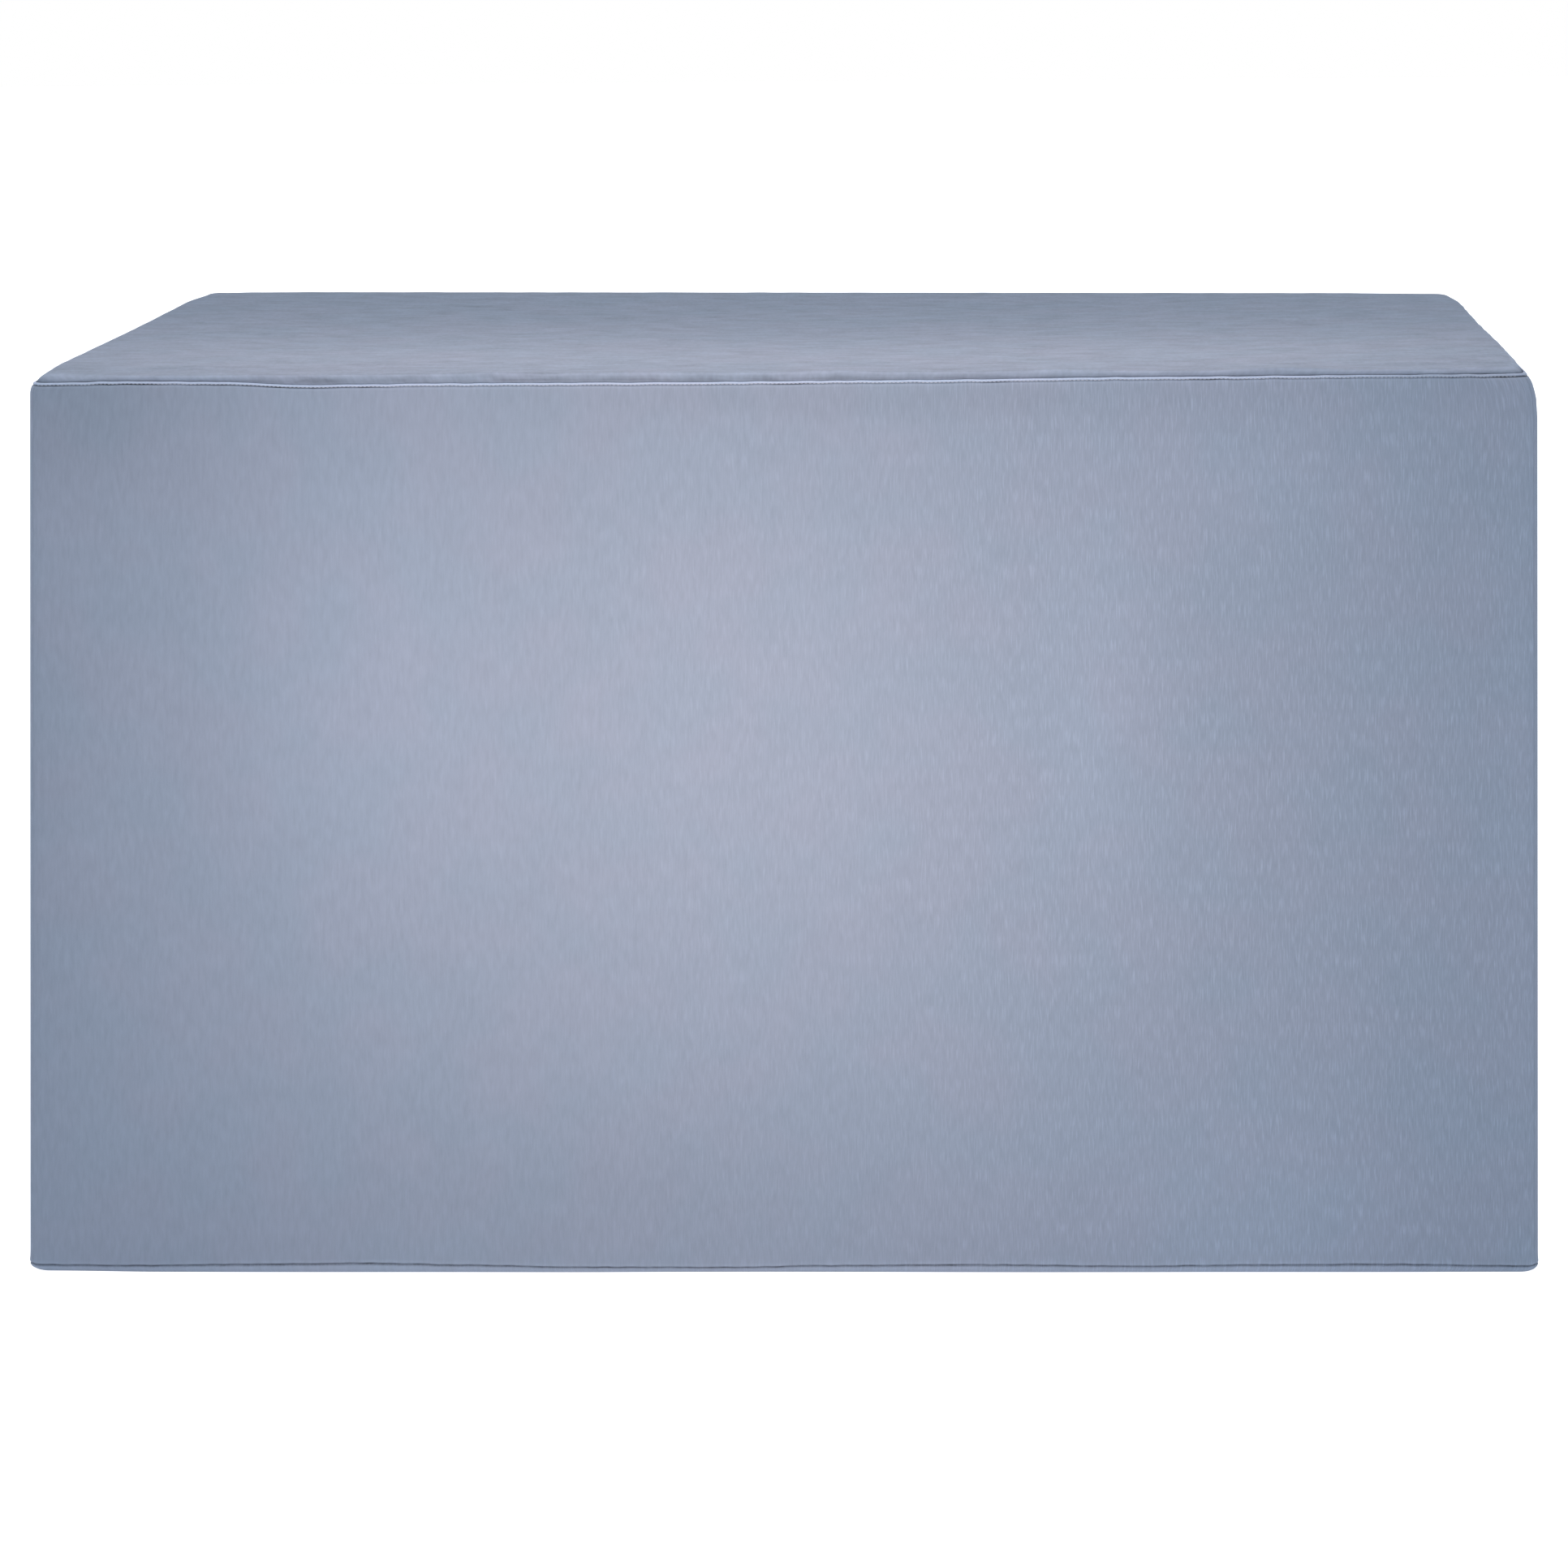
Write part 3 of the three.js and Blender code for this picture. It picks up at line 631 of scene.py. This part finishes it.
def skirtOuter(side, distance):
    # Heights, reliefs and painted light and shade of all the outer rows
    at, _ = placeOn(side, distance)
    top = lipTop(side, distance)
    line = hemLine(side, distance)
    lift = readTable(side["lift"], at)
    litRidge = readTable(side["ridgeHighlight"], at)
    # How uneven the painted shade is along the seam and the hem
    shadeUneven = 1 + skirt["shadeWave"] * ripple(distance, side["seed"] + 10, 0.15, 0.012)
    rows = []
    for row in lipRows:
        down = row["down"] * mm
        ridge = 1 + 0.35 * lift if row["proud"] > 0 and row["down"] < 2.3 else 1
        groove = 1 + 1.2 * lift if row["proud"] < 0 and row["down"] > 2 else 1
        proud = row["proud"] * mm * ridge * groove + seamPuckers(side, distance, down + 0 * top)
        # Painted shade in the groove, deeper where the stitching pulls in; painted highlight on the lip and ridge
        paintedShading = (0.45 + 1.2 * lift) * shadeUneven if row["shade"] < 0 else litRidge
        rows.append((top - down, proud, row["shade"] * paintedShading))
    upper = rows[-1][0]
    lower = line + overHemRows[0]["above"] * mm
    for step in range(1, skirt["bodyRows"]):
        z = mix(upper, lower, step / skirt["bodyRows"])
        rows.append((z, seamPuckers(side, distance, top - z), 0))
    # The hem's rows, with their painted highlight and painted shade
    for row in overHemRows:
        z = line + row["above"] * mm
        rows.append((z, row["proud"] * mm + hemPuckers(side, distance, z), row["shade"] * shadeUneven))
    for row in bandRows:
        z = line * row["share"]
        proud = row["proud"] * mm + hemPuckers(side, distance, z) * min(1, row["share"] * 4)
        rows.append((z, proud, row["shade"] * (shadeUneven if row["shade"] < 0 else 1)))
    return rows


def skirtInner(side, distance):
    top = lipTop(side, distance)
    line = hemLine(side, distance)
    lowest = line + 1 * mm
    cloth, hem = -cover["clothThickness"], -cover["hemThickness"]
    rows = [(top - 0.9 * mm, cloth), (top - 3 * mm, cloth - 0.4 * mm)]
    rows += [(mix(top, lowest, share), cloth) for share in skirt["innerRows"]]
    rows += [(lowest, cloth - 0.6 * mm), (line * 0.8, hem), (line * 0.1, hem), (line * 0.01, hem + 0.7 * mm)]
    return [(z, proud, 0) for z, proud in rows]


def clothValues(place, shade, clear):
    # Where each point lies on the cloth, how much light or shade is painted on it there and how clearly the slubs show
    return {
        "clothPlace": ("FLOAT_VECTOR", "vector", place),
        "paintedLightShade": ("FLOAT", "value", shade),
        "slubClear": ("FLOAT", "value", clear),
    }


def patchLighting(side, share, z):
    # How much lighter the cloth is painted in its patches of painted light, and darker in those of painted shade
    total = np.zeros_like(z)
    for at, height, reachAlong, reachUp, lighter in side["paintedPatches"]:
        total += lighter * np.exp(-(((share - at) / reachAlong) ** 2) - ((z - height) / reachUp) ** 2)
    return total


def skirtPanel(side):
    distance = skirtColumns(side)
    outer = skirtOuter(side, distance)
    inner = skirtInner(side, distance)
    lines = [skirtPlace(side, distance, z, proud) for z, proud, _ in outer + inner]
    points = np.concatenate(lines)
    count = len(distance)
    share = np.tile(distance / clothLength(side), len(lines))
    # The painted highlights and painted shade of the rows, with the soft patches of painted light and painted shade
    paintedShading = np.concatenate([value + np.zeros(count) for _, _, value in outer + inner])
    shade = paintedShading + patchLighting(side, share, points[:, 2])
    index = np.arange(len(lines) * count).reshape(len(lines), count)
    outside, inside = index[: len(outer)], index[len(outer) :]
    heights = points[:, 2]
    faceSets = [
        gridFaces(outside),
        gridFaces(inside[:, ::-1]),
        joinGrid(inside[0], outside[0]),
        joinGrid(outside[-1], inside[-1]),
        edgeFaces(inside[:, 0], outside[:, 0], heights),
        edgeFaces(outside[:, -1], inside[:, -1], heights),
    ]
    place = np.stack([np.tile(distance, len(lines)), heights, np.full(len(points), side["seed"] * 1.0)], -1)
    name = side["name"] + "Skirt"
    values = clothValues(place, shade, readTable(side["clear"], share))
    return makeMesh(name, points + coverMiddle, faceSets, skirtMaterial, values)


# The top panel
topPanelPlan = {
    "bendSteps": 4,
    "longSteps": 304,
    "shortSteps": 176,
    "innerStep": 4,  # the underside has one point for so many on top
    # Rows down the top's edge: swell (mm), painted highlight on the fold and painted shade on the band below it
    "edgeRows": [
        {"fold": 0.15, "swell": 0.1, "shade": 0}, {"fold": 0.3, "swell": 0.25, "shade": 0.1},
        {"fold": 0.45, "swell": 0.4, "shade": 0.18}, {"fold": 0.6, "swell": 0.5, "shade": 0.16},
        {"fold": 0.8, "swell": 0.45, "shade": 0.02}, {"fold": 1.0, "swell": 0.3, "shade": -0.12},
        {"band": 0.25, "swell": 0.0, "shade": -0.18}, {"band": 0.5, "swell": -0.3, "shade": -0.12},
        {"band": 0.75, "swell": -0.45, "shade": 0}, {"band": 1.0, "swell": -0.5, "shade": 0.1},
        {"below": 2.5, "swell": -0.5, "shade": 0}, {"below": 7, "swell": -0.5, "shade": 0},
    ],
    "fineCrease": 0.55 * mm,
    "slowWave": 1.2 * mm,
}

# Soft puffs along the front fold, as shares of its length, with their rise (mm)
frontPuffs = [(0.314, 2.0), (0.411, 1.6), (0.535, 2.3), (0.681, 2.0), (0.834, 3.1)]

# Where the corners hold the top up or let it sink: place and rise (mm)
cornerPuffs = [(-0.75, -0.41, 2.2), (0.75, -0.34, -2.2)]

# Creases laid on the top: middle, length, width and turn from the X axis in degrees, and height (mm)
creaseColumns = ("x", "y", "length", "width", "turn", "height")
topCreases = [
    (-0.61, -0.392, 0.16, 0.011, -3, 1.5), (-0.57, -0.372, 0.12, 0.009, -2, 1.0), (-0.66, -0.405, 0.09, 0.008, 4, 0.9),
    (-0.40, -0.355, 0.14, 0.010, 2, 0.8), (-0.655, -0.08, 0.07, 0.020, -38, 1.6), (-0.60, -0.02, 0.14, 0.018, -8, 1.3),
    (0.66, -0.40, 0.11, 0.010, 168, 1.4), (0.69, -0.385, 0.10, 0.010, 155, 1.6), (0.705, -0.36, 0.10, 0.011, 140, 1.6),
    (0.72, -0.33, 0.11, 0.012, 122, 1.4), (0.735, -0.31, 0.11, 0.012, 106, 1.1), (0.58, -0.375, 0.13, 0.009, 176, 1.0),
    (0.35, -0.30, 0.16, 0.012, -3, 0.8), (0.10, -0.34, 0.13, 0.010, 3, 0.7), (-0.15, -0.31, 0.15, 0.011, -2, 0.7),
    (0.55, 0.12, 0.12, 0.020, 30, 1.2), (0.64, 0.28, 0.10, 0.020, 48, 1.3), (-0.62, 0.33, 0.10, 0.020, -50, 1.3),
]


def topRelief(x, y):
    # What rises and falls on the flat of the top, besides its sag
    front = -cover["topDepth"] / 2
    fromEdge = np.minimum(cover["topWidth"] / 2 - np.abs(x), cover["topDepth"] / 2 - np.abs(y))
    edgeFade = ease(within((fromEdge - 4 * mm) / (25 * mm)))
    relief = np.zeros_like(x)
    for share, rise in frontPuffs:
        spot = (share - 0.5) * cover["topWidth"]
        relief += rise * mm * np.exp(-(((x - spot) / 0.045) ** 2)) * np.exp(-np.maximum(y - front, 0) / 0.03)
    for x0, y0, rise in cornerPuffs:
        relief += rise * mm * np.exp(-(((x - x0) / 0.05) ** 2) - ((y - y0) / 0.05) ** 2)
    for crease in topCreases:
        values = dict(zip(creaseColumns, crease))
        turn = math.radians(values["turn"])
        along = (x - values["x"]) * math.cos(turn) + (y - values["y"]) * math.sin(turn)
        across = (y - values["y"]) * math.cos(turn) - (x - values["x"]) * math.sin(turn)
        across = across + 0.25 * values["width"] * np.sin(along / values["length"] * 9)
        fade = np.exp(-((2 * along / values["length"]) ** 2))
        relief += values["height"] * mm * np.exp(-((across / (values["width"] / 2)) ** 2)) * fade * edgeFade
    thread = patches(x / 0.085, y / 0.021, 31) + 0.6 * patches(x / 0.05 + 7, y / 0.012, 32)
    lines = np.exp(-((thread / 0.16) ** 2)) * within(0.4 + patches(x / 0.2, y / 0.13, 33))
    relief -= topPanelPlan["fineCrease"] * lines * edgeFade
    relief += topPanelPlan["slowWave"] * patches(x / 0.25, y / 0.16, 34) * ease(within(fromEdge / (90 * mm)))
    return relief


def topColumns(side):
    bend = cover["edgeRadius"] * math.pi / 4
    length = clothLength(side)
    steps = topPanelPlan["shortSteps"] if side["along"][0] == 0 else topPanelPlan["longSteps"]
    turn = np.linspace(0, bend, topPanelPlan["bendSteps"] + 1)
    straight = np.linspace(bend, length - bend, steps + 1)
    return np.concatenate([turn[:-1], straight, (length - turn[::-1])[1:-1]])


def topEdgePlace(side, distance, row, inside):
    at, angle = placeOn(side, distance)
    radius = rounding(side, at)
    drop = seamDrop(side, at)
    roof = roofLevel(side, at)
    turned = np.minimum(radius, drop)
    lastTilt = np.arcsin((radius - turned) / radius)
    share = row.get("fold", 1.0)
    if "fold" in row:
        tilt = mix(math.pi / 2, lastTilt, share)
        depth = radius * (1 - np.sin(tilt))
    else:
        depth = mix(turned, drop, row["band"]) if "band" in row else drop + row["below"] * mm
        tilt = np.arcsin(np.maximum(radius - depth, 0) / radius)
    inset = wallHang(side, at, roof - depth) + roundedIn(radius, depth) + cover["topBehindSkirt"]
    wave = ripple(distance, side["seed"] + 9, 0.16, 0.04) * side["foldWave"] * mm
    proud = row.get("swell", 0) * mm + wave * math.sin(math.pi * min(share, 0.9)) - inside
    bend = mix(cover["roofCornerRadius"], cover["edgeRadius"] - cover["topBehindSkirt"] - inside, share)
    z = roof - depth + proud * np.sin(tilt)
    place = outlinePlace(side, at, angle, z, inset - proud * np.cos(tilt), bend)
    place[:, 2] += topRelief(place[:, 0], place[:, 1]) * np.sin(tilt) ** 2
    return place


def topRing(row, inside):
    return np.concatenate([topEdgePlace(side, topColumns(side), row, inside) for side in sides])


def roofPlaces(ring, step=1):
    # The roof inside its ring, blended from the four edges and sunk a little towards the middle
    across, deep = (len(topColumns(side)) for side in sides[:2])
    front = ring[: across + 1 : step]
    right = ring[across : across + deep + 1 : step]
    back = ring[across + deep : 2 * across + deep + 1 : step][::-1]
    left = np.concatenate([ring[2 * across + deep :], ring[:1]])[::step][::-1]
    v = ((left[:, 1] - left[0, 1]) / (left[-1, 1] - left[0, 1]))[:, None, None]
    u = ((front[:, 0] - front[0, 0]) / (front[-1, 0] - front[0, 0]))[None, :, None]
    grid = front[None] * (1 - v) + back[None] * v + left[:, None] * (1 - u) + right[:, None] * u
    grid -= front[0] * (1 - u) * (1 - v) + front[-1] * u * (1 - v) + back[0] * (1 - u) * v + back[-1] * u * v
    grid[:, :, 2] -= (cover["roofSag"] * np.sin(math.pi * u) * np.sin(math.pi * v))[:, :, 0]
    return grid


def rimOf(rows):
    return np.concatenate([rows[0, :-1], rows[:-1, -1], rows[-1, :0:-1], rows[:0:-1, 0]])


def fanFaces(fine, coarse, step):
    # Triangles between a fine ring and a coarse one that has a point for every few of its own
    faces = []
    total = len(fine)
    for i, start in enumerate(coarse):
        end = coarse[(i + 1) % len(coarse)]
        first = i * step
        for k in range(step):
            tip = start if k < step // 2 else end
            faces.append((fine[(first + k) % total], tip, fine[(first + k + 1) % total]))
            if k == step // 2:
                faces.append((fine[first + k], start, end))
    return np.array(faces)


def smoothRing(place):
    # The ring without its relief, so that the roof's blend doesn't carry ripples across
    ring = place.copy()
    ring[:, 2] -= topRelief(ring[:, 0], ring[:, 1])
    return ring


def foldShadow(side):
    # How dark the painted shade in the hollow under the top's fold is, from 0 to 1.2
    return 1.2 * within(0.6 + 0.6 * ripple(topColumns(side), side["seed"] + 12, 0.35, 0.05))


def topPanel():
    thickness = cover["clothThickness"]
    step = topPanelPlan["innerStep"]
    closed = lambda line: np.append(line, line[0])
    roof = roofPlaces(smoothRing(topRing({"fold": 0}, 0)))
    roof[:, :, 2] += topRelief(roof[:, :, 0], roof[:, :, 1])
    under = roofPlaces(smoothRing(topRing({"fold": 0}, thickness)), step)
    under[:, :, 2] += topRelief(under[:, :, 0], under[:, :, 1])
    edge = [topRing(row, 0) for row in topPanelPlan["edgeRows"]]
    back = [topRing(row, thickness) for row in topPanelPlan["edgeRows"][::-2]]
    points = np.concatenate([roof.reshape(-1, 3), *edge, *back, under.reshape(-1, 3)])

    roofIndex = np.arange(roof[:, :, 0].size).reshape(roof.shape[:2])
    start = roofIndex.size
    rings = []
    for ring in edge + back:
        rings.append(np.arange(start, start + len(ring)))
        start += len(ring)
    underIndex = (start + np.arange(under[:, :, 0].size)).reshape(under.shape[:2])
    faceSets = [gridFaces(roofIndex[::-1])]
    lines = [rimOf(roofIndex), *rings]
    for first, second in zip(lines, lines[1:]):
        faceSets.append(joinGrid(closed(first), closed(second)))
    faceSets.append(fanFaces(rings[-1], rimOf(underIndex), step))
    faceSets.append(gridFaces(underIndex))
    down = cover["roofHeight"] - points[:, 2]
    along = points[:, 0] * (1 + 2 * down / cover["topWidth"])  # the cloth runs on over its folds
    across = points[:, 1] * (1 + 2 * down / cover["topDepth"])
    shade = np.zeros(len(points))
    # Painted highlight on the fold, and uneven painted shade in the band under it
    shadeUneven = np.concatenate([foldShadow(side) for side in sides])
    for line, row in zip(rings, topPanelPlan["edgeRows"]):
        shade[line] = row["shade"] * (shadeUneven if row["shade"] < 0 else 1)
    place = np.stack([across, along, points[:, 2]], -1)
    return makeMesh("topPanel", points + coverMiddle, faceSets, topMaterial, clothValues(place, shade, shade * 0))


# The threads
sewing = {
    "pitch": 4.2 * mm,
    "stitch": 2.7 * mm,
    "seamRow": 2.35 * mm,  # under the lip's top
    "radius": 0.36 * mm,
    "hemPitch": 4.0 * mm,
    "hemRadius": 0.2 * mm,
    "zigzag": (0.5 * mm, 2.4 * mm),  # under the hem's line
}


def capsules(paths, outward, radii, sidesRound):
    # Round, closed threads along many short paths: (stitches, points, 3)
    count, steps, _ = paths.shape
    tangent = np.gradient(paths, axis=1)
    tangent /= np.linalg.norm(tangent, axis=2, keepdims=True)
    across = np.cross(tangent, outward)
    across /= np.linalg.norm(across, axis=2, keepdims=True)
    lifted = np.cross(across, tangent)
    turn = np.arange(sidesRound) * 2 * math.pi / sidesRound
    radii = np.asarray(radii)[None, :, None, None]
    rings = (
        paths[:, :, None]
        + radii * np.cos(turn)[None, None, :, None] * lifted[:, :, None]
        + radii * np.sin(turn)[None, None, :, None] * across[:, :, None]
    )
    index = np.arange(count * steps * sidesRound).reshape(count, steps, sidesRound)
    after = np.roll(index, -1, axis=2)
    walls = np.stack([index[:, :-1], after[:, :-1], after[:, 1:], index[:, 1:]], -1).reshape(-1, 4)
    starts = index[:, 0, ::-1].reshape(-1, sidesRound)
    ends = index[:, -1].reshape(-1, sidesRound)
    return rings.reshape(-1, 3), [walls, np.concatenate([starts, ends])]


def outwardAt(side, distance):
    _, angle = placeOn(side, distance)
    x = np.sin(angle) * side["along"][0] + np.cos(angle) * side["normal"][0]
    y = np.sin(angle) * side["along"][1] + np.cos(angle) * side["normal"][1]
    return np.stack([x, y, 0 * x], -1)


def joinThreads(name, bundles, material):
    points = []
    faceSets = []
    start = 0
    for places, sets in bundles:
        points.append(places)
        faceSets += [faces + start for faces in sets]
        start += len(places)
    return makeMesh(name, np.concatenate(points) + coverMiddle, faceSets, material)


def seamThread():
    bundles = []
    along = np.array([0, 0.12, 0.32, 0.5, 0.68, 0.88, 1])
    arch = np.array([-0.35, 0.05, 0.28, 0.34, 0.28, 0.05, -0.35]) * mm
    radii = sewing["radius"] * np.array([0.5, 0.9, 1, 1, 1, 0.9, 0.5])
    for side in sides:
        count = int((clothLength(side) - 6 * mm) / sewing["pitch"])
        starts = 3 * mm + np.arange(count) * sewing["pitch"]
        distance = starts[:, None] + along * sewing["stitch"]
        flat = distance.ravel()
        at, _ = placeOn(side, flat)
        groove = -0.15 * mm * (1 + 1.2 * readTable(side["lift"], at))
        z = lipTop(side, flat) - sewing["seamRow"]
        proud = groove + np.tile(arch, count) + seamPuckers(side, flat, sewing["seamRow"] + 0 * flat)
        paths = skirtPlace(side, flat, z, proud).reshape(count, len(along), 3)
        outward = outwardAt(side, flat).reshape(paths.shape)
        bundles.append(capsules(paths, outward, radii, 6))
    return joinThreads("seamThread", bundles, seamMaterial)


def hemThread():
    bundles = []
    along = np.array([0, 0.25, 0.5, 0.75, 1])
    arch = np.array([-0.2, 0.12, 0.2, 0.12, -0.2]) * mm
    radii = sewing["hemRadius"] * np.array([0.5, 1, 1, 1, 0.5])
    high, low = sewing["zigzag"]
    for side in sides:
        half = sewing["hemPitch"] / 2
        count = int((clothLength(side) - 6 * mm) / half)
        starts = 3 * mm + np.arange(count) * half
        distance = starts[:, None] + along * half
        down = np.where((np.arange(count) % 2 == 0)[:, None], mix(high, low, along), mix(low, high, along))
        flat = distance.ravel()
        line = hemLine(side, flat)
        z = line - down.ravel()
        shares = [row["share"] for row in bandRows][::-1]
        relief = [row["proud"] for row in bandRows][::-1]
        surface = np.interp(z / line, shares, relief) * mm + hemPuckers(side, flat, z)
        paths = skirtPlace(side, flat, z, surface + np.tile(arch, count)).reshape(count, len(along), 3)
        outward = outwardAt(side, flat).reshape(paths.shape)
        bundles.append(capsules(paths, outward, radii, 5))
    return joinThreads("hemThread", bundles, hemMaterial)


# The outline's tables are symmetrical about the middle of the roof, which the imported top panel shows
lowest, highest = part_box("top_panel")
coverMiddle = np.array([(lowest.x + highest.x) / 2, (lowest.y + highest.y) / 2, 0])

seamThreadPiece = seamThread()
hemThreadPiece = hemThread()
print("threads sewn:", len(seamThreadPiece.data.polygons), len(hemThreadPiece.data.polygons), "faces")

skirtPieces = {}
for side in sides:
    piece = skirtPanel(side)
    skirtPieces[side["name"]] = piece
    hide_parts(side["name"] + "_panel")
    print(piece.name, "made:", len(piece.data.polygons), "faces")

topPiece = topPanel()
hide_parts("top_panel")
print(topPiece.name, "made:", len(topPiece.data.polygons), "faces")

for piece in [*skirtPieces.values(), topPiece]:
    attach(piece, "root")
for piece in (seamThreadPiece, hemThreadPiece):
    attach(piece, "root")


# The studio
studio = {
    "floorSide": 60,
    "floorColour": (0.9, 0.9, 0.9, 1),
    "floorGlow": 0.165,
    "ambient": (0.528, 0.566, 0.612),
    "areaLights": {
        "frontLight": {"place": (-0.05, -2.1, 0.66), "aim": (-0.05, -0.46, 0.6), "size": (0.4, 0.4), "spread": 62,
                       "power": 1.92, "colour": (1.0, 0.788, 0.668)},
        "frontEdgeLight": {"place": (0, -0.3, 1.35), "aim": (0, -0.3, 0.9), "size": (1.5, 0.2), "spread": 180,
                           "power": 2.2, "colour": (1.0, 0.804, 0.717)},
    },
}


def makeFloor():
    material, tree, shader = newMaterial("paleFloor", Roughness=0.9, Specular_IOR_Level=0.1)
    shader.inputs["Base Color"].default_value = studio["floorColour"]
    shader.inputs["Emission Color"].default_value = (1, 1, 1, 1)
    seen = addNode(tree, "ShaderNodeLightPath").outputs["Is Camera Ray"]
    tree.links.new(calculate(tree, "MAXIMUM", seen, studio["floorGlow"]), shader.inputs["Emission Strength"])
    half = studio["floorSide"] / 2
    points = np.array([(-half, -half, 0), (half, -half, 0), (half, half, 0), (-half, half, 0)], float)
    floor = makeMesh("floor", points, [np.array([[0, 1, 2, 3]])], material)


def areaLight(name, settings):
    light = bpy.data.lights.new(name, "AREA")
    light.shape = "RECTANGLE"
    light.size, light.size_y = settings["size"]
    light.energy = settings["power"]
    light.spread = math.radians(settings["spread"])
    light.color = settings["colour"]
    lamp = bpy.data.objects.new(name, light)
    lamp.visible_camera = False
    bpy.context.scene.collection.objects.link(lamp)
    place = Vector(settings["place"])
    lamp.location = place
    lamp.rotation_mode = "QUATERNION"
    lamp.rotation_quaternion = (Vector(settings["aim"]) - place).to_track_quat("-Z", "Y")


def makeWorld():
    world = bpy.data.worlds.new("paleStudio")
    bpy.context.scene.world = world
    world.use_nodes = True
    tree = world.node_tree
    seen = addNode(tree, "ShaderNodeLightPath").outputs["Is Camera Ray"]
    ambient = (*studio["ambient"], 1)
    shown = addNode(tree, "ShaderNodeMix", {0: seen, 6: ambient, 7: (1, 1, 1, 1)}, data_type="RGBA")
    tree.links.new(shown.outputs[2], tree.nodes["Background"].inputs["Color"])


makeFloor()
for name, settings in studio["areaLights"].items():
    areaLight(name, settings)
makeWorld()
bpy.context.scene.view_settings.view_transform = "Standard"
print("studio lit")
